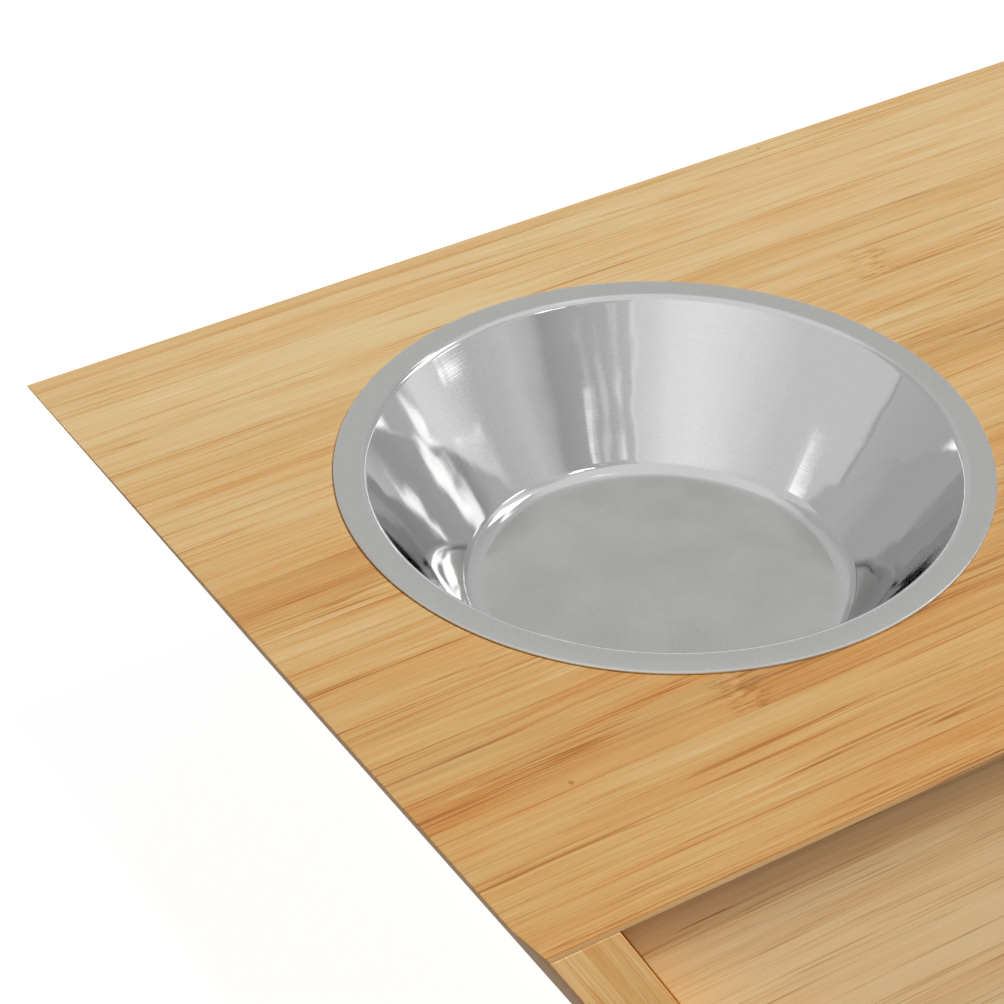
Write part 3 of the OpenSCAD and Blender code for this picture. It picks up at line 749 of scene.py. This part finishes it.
def screws_in(node):
    """The middle of each head in a CAD node, the way it faces, and the screw's length."""
    shape = bmesh.new()
    shape.from_mesh(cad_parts[node].data)
    bmesh.ops.remove_doubles(shape, verts=shape.verts, dist=WELD)
    seen, found = set(), []
    for first in shape.verts:
        if first.index in seen:
            continue
        one, todo = [], [first]
        seen.add(first.index)
        while todo:
            point = todo.pop()
            one.append(tuple(point.co))
            for edge in point.link_edges:
                other = edge.other_vert(point)
                if other.index not in seen:
                    seen.add(other.index)
                    todo.append(other)
        points = numpy.array(one)
        middle = points.mean(axis=0)
        axis = numpy.linalg.svd(points - middle, full_matrices=False)[2][0]
        along = (points - middle) @ axis
        spread = numpy.linalg.norm(points - middle - numpy.outer(along, axis), axis=1)
        if spread[along < 0].max() > spread[along > 0].max():
            axis, along = -axis, -along
        found.append((Vector(middle + axis * along.max()), Vector(axis),
                      round(float(along.max() - along.min()), 5)))
    shape.free()
    return found


for number, node in enumerate(sorted(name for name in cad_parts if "screws" in name)):
    whole = bmesh.new()
    screws = screws_in(node)
    for length in sorted({row[2] for row in screws}):
        heads = [row for row in screws if row[2] == length]
        mesh = bpy.data.meshes.new("heads")
        mesh.from_pydata([row[0] for row in heads], [], [])
        facing = mesh.attributes.new("facing", "FLOAT_VECTOR", "POINT")
        for k, row in enumerate(heads):
            facing.data[k].vector = row[1]
        batch = shaped(in_scene("batch", mesh), screw_tree, {
            "Length": length, "Head radius": SCREW_HEAD_R, "Head height": SCREW_HEAD_H,
            "Thread radius": SCREW_R, "Core radius": SCREW_CORE, "Pitch": SCREW_PITCH,
            "Point length": SCREW_POINT, "Turn seed": number, "Finish": zinc})
        whole.from_mesh(batch.data)
        bpy.data.objects.remove(batch)
    mesh = bpy.data.meshes.new(f"zinc_{node}")
    whole.to_mesh(mesh)
    whole.free()
    for face in mesh.polygons:
        face.use_smooth = True
    mesh.set_sharp_from_angle(angle=math.radians(40))
    mesh.materials.append(zinc)
    piece = in_scene(f"zinc_{node}", mesh)
    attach(piece, "drawer" if node.startswith("drawer") else "case")
    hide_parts(node)


# ---- Studio ----
# A pale floor under a broad soft light, inside a plain grey surround whose lighter and darker
# panels are what the polished steel reflects.

mesh = bpy.data.meshes.new("floor")
reach = 14.0
mesh.from_pydata([(-reach, -reach, 0), (reach, -reach, 0), (reach, reach, 0), (-reach, reach, 0)],
                 [], [(0, 1, 2, 3)])
floor = in_scene("floor", mesh)
floor.visible_diffuse = False
floor.visible_glossy = False
paper, tree = new_finish("paper")
white = joined(tree, "ShaderNodeBsdfPrincipled", {
    "Base Color": (0.30, 0.30, 0.30, 1), "Roughness": 0.9, "Specular IOR Level": 0.0,
    "Emission Color": (1, 1, 1, 1), "Emission Strength": 0.96,
})
joined(tree, "ShaderNodeOutputMaterial", {0: white.outputs[0]})
mesh.materials.append(paper)

# The camera's place, heading and tilt, worked from the photograph's perspective
EYE = (-0.4912, -0.4916, 0.5856)
HEADING = math.radians(32.297)
TILT = math.radians(36.795)
FRAME = 1004            # pixels along a side of the photograph
FOCAL = 2994.1          # in the same pixels
camera = in_scene("camera", bpy.data.cameras.new("camera"))
camera.location = EYE
camera.rotation_euler = (math.pi / 2 - TILT, 0, -HEADING)
camera.data.sensor_width = 36
camera.data.lens = camera.data.sensor_width * FOCAL / FRAME
camera.data.clip_start = 0.01
camera.data.clip_end = 60
bpy.context.scene.camera = camera


def directions(tree, where):
    """The heading of a direction, in degrees to the right of the camera's back, and its height."""
    way = joined(tree, "ShaderNodeMapping", {"Vector": where, "Rotation": (0, 0, HEADING)},
                 vector_type="POINT").outputs[0]
    way = joined(tree, "ShaderNodeVectorMath", {0: way}, operation="NORMALIZE").outputs[0]
    x, y, z = joined(tree, "ShaderNodeSeparateXYZ", {0: way}).outputs
    angle = sum_of(tree, "ARCTAN2", x, sum_of(tree, "MULTIPLY", y, -1.0))
    return (sum_of(tree, "MULTIPLY", angle, 180 / math.pi),
            sum_of(tree, "MULTIPLY", sum_of(tree, "ARCSINE", z), 180 / math.pi), way)


def blended(tree, share, first, second):
    """A level of light between two others."""
    return joined(tree, "ShaderNodeMix", {0: share, 2: first, 3: second},
                  data_type="FLOAT").outputs[0]


# Soft light from above, and what the floor throws back from below
SKY_LOW, SKY_HIGH = 0.05, 0.11          # at the horizon and overhead
BOUNCE_LEFT, BOUNCE_RIGHT = 0.22, 0.74  # from the floor on the two sides
surround = bpy.data.worlds.new("surround")
bpy.context.scene.world = surround
surround.use_nodes = True
tree = surround.node_tree
tree.nodes.clear()
heading, height, way = directions(tree, joined(tree, "ShaderNodeTexCoord").outputs["Generated"])
above = graded(tree, height, 8.0, 40.0, SKY_LOW, SKY_HIGH)
bounce = sum_of(tree, "MULTIPLY", graded(tree, heading, -20, 30), graded(tree, heading, 160, 120))
bounce = sum_of(tree, "MULTIPLY_ADD", bounce, BOUNCE_RIGHT - BOUNCE_LEFT, BOUNCE_LEFT)
upwards = graded(tree, height, -3.0, 3.0)
light = blended(tree, upwards, bounce, above)
tone = ramp_of(tree, upwards, [(0.0, (1.0, 0.81, 0.68)), (1.0, (1, 1, 1))])
# Behind the case it is plain white
seen = joined(tree, "ShaderNodeLightPath").outputs["Is Camera Ray"]
tone = joined(tree, "ShaderNodeMix", {0: seen, 6: tone, 7: (1, 1, 1, 1)},
              data_type="RGBA").outputs[2]
joined(tree, "ShaderNodeOutputWorld", {0: joined(tree, "ShaderNodeBackground", {
    "Color": tone, "Strength": blended(tree, seen, light, 1.0)}).outputs[0]})

# The room that the steel shows, on a great shell that gives no light to anything else.
# Its walls are lighter and darker panels, as (degrees to the right of the camera's back, light)
PANELS = [
    (-180, 0.66), (-149, 0.66), (-130.5, 0.55), (-113.5, 0.58), (-102.7, 0.62), (-98.8, 0.79),
    (-61.5, 0.80), (-46.2, 0.92), (-31.3, 1.04), (-16.6, 1.10), (-5.5, 1.06), (3.7, 0.94),
    (10.9, 0.88), (11.3, 1.08), (12.1, 1.08), (12.5, 0.70), (22.1, 0.62), (31.3, 0.57),
    (38.7, 0.52), (50.8, 0.46), (55.4, 0.62), (64.2, 0.76), (71.2, 0.70), (83.5, 0.65),
    (88.0, 0.80), (100.2, 0.98), (107.0, 1.00), (113.0, 0.60), (132.0, 0.56), (149.5, 0.62),
    (179, 0.66),
]
CEILING = 0.90                          # light overhead
TABLE_NEAR, TABLE_FAR = 0.35, 0.60      # and below the horizon
# What stands out on the walls, as (heading, height, half length, half width, tilt, light,
# softness), in degrees but for the light
WINDOWS = [
    (111.2, 7.3, 3.0, 1.9, 0, 0.90, 1.0), (93.5, 13.8, 7.8, 0.50, -19, 0.50, 0.5),
    (48.0, 46.0, 6.5, 2.4, -37, 1.75, 1.2), (55.0, 47.5, 3.5, 2.0, -33, 1.80, 1.2),
    (87.0, 24.6, 5.0, 1.6, -25, 1.65, 1.2), (93.2, 21.0, 1.8, 1.0, -37, 1.30, 0.8),
    (113.0, 42.0, 8.0, 8.5, 0, 2.60, 1.6), (138.0, 49.3, 13.0, 1.2, 0, 1.00, 1.0),
    (140.0, 72.5, 12.0, 1.2, 0, 0.50, 0.8), (-80.9, 19.8, 3.8, 1.1, 27, 0.85, 0.8),
    (-76.5, 22.6, 0.8, 1.0, 0, 0.10, 1.0), (-100.8, 14.0, 0.5, 9.0, 0, -0.20, 0.8),
    (34.8, 30.3, 1.1, 0.9, 0, 0.55, 0.8), (32.4, 31.3, 1.3, 0.7, 0, 0.28, 0.8),
    (26.6, 31.9, 0.9, 1.6, 20, 0.22, 1.0), (18.2, 32.4, 0.7, 1.2, 0, 0.26, 0.8),
    (180, -4.0, 60.0, 5.0, 0, 1.60, 3.0), (-180, -4.0, 60.0, 5.0, 0, 1.60, 3.0),
]
mesh = bpy.data.meshes.new("room")
shape = bmesh.new()
bmesh.ops.create_uvsphere(shape, u_segments=48, v_segments=24, radius=40.0)
shape.to_mesh(mesh)
shape.free()
room = in_scene("room", mesh)
room.visible_camera = False
room.visible_diffuse = False
room.visible_shadow = False
glow, tree = new_finish("room_light")
glow.cycles.emission_sampling = "NONE"
heading, height, way = directions(tree, joined(tree, "ShaderNodeTexCoord").outputs["Object"])
walls = ramp_of(tree, sum_of(tree, "MULTIPLY_ADD", heading, 1 / 360, 0.5),
                [((angle + 180) / 360, (level, level, level)) for angle, level in PANELS])
mottle = joined(tree, "ShaderNodeTexNoise", {"Vector": way, "Scale": 11.0, "Detail": 3.0})
mottled = graded(tree, mottle.outputs[0], 0.55, 0.66, 0.0, 0.30)
mottled = sum_of(tree, "MULTIPLY", mottled, sum_of(
    tree, "MULTIPLY", graded(tree, heading, 12, 16), graded(tree, heading, 41, 35)))
light = sum_of(tree, "ADD", joined(tree, "ShaderNodeRGBToBW", {0: walls}).outputs[0], mottled)
light = blended(tree, graded(tree, height, 50.0, 62.0), light, CEILING)
# Below the horizon the table is bright beyond the case and dark on the camera's side
table = graded(tree, sum_of(tree, "ABSOLUTE", heading), 95, 130, TABLE_NEAR, TABLE_FAR)
light = blended(tree, graded(tree, height, 1.0, -5.0), light, table)
for at, up, half_long, half_wide, tilt, glare, soft in WINDOWS:
    east = sum_of(tree, "SUBTRACT", heading, at)
    north = sum_of(tree, "SUBTRACT", height, up)
    turn_x, turn_y = math.cos(math.radians(tilt)), math.sin(math.radians(tilt))
    lengthways = sum_of(tree, "MULTIPLY_ADD", east, turn_x, sum_of(tree, "MULTIPLY", north, turn_y))
    sideways = sum_of(tree, "MULTIPLY_ADD", north, turn_x, sum_of(tree, "MULTIPLY", east, -turn_y))
    inside = sum_of(
        tree, "MULTIPLY",
        graded(tree, sum_of(tree, "ABSOLUTE", lengthways), half_long + soft, half_long),
        graded(tree, sum_of(tree, "ABSOLUTE", sideways), half_wide + soft, half_wide))
    light = sum_of(tree, "MULTIPLY_ADD", inside, glare, light)
joined(tree, "ShaderNodeOutputMaterial", {0: joined(tree, "ShaderNodeEmission", {
    "Color": (1, 1, 1, 1), "Strength": light}).outputs[0]})
mesh.materials.append(glow)

# A broad light, far off and aimed at the case. The steel doesn't show it.
MIDDLE = Vector((0, 0, 0.1))
lamp = in_scene("main_lamp", bpy.data.lights.new("main_lamp", "AREA"))
lamp.location = (2.8, -5.8, 11.9)
lamp.rotation_euler = (MIDDLE - lamp.location).to_track_quat("-Z", "Y").to_euler()
lamp.data.shape = "DISK"
lamp.data.size = 6.4
lamp.data.energy = 1860
lamp.visible_camera = False
lamp.visible_glossy = False

bpy.context.scene.view_settings.view_transform = "Standard"
bpy.context.scene.view_settings.look = "None"
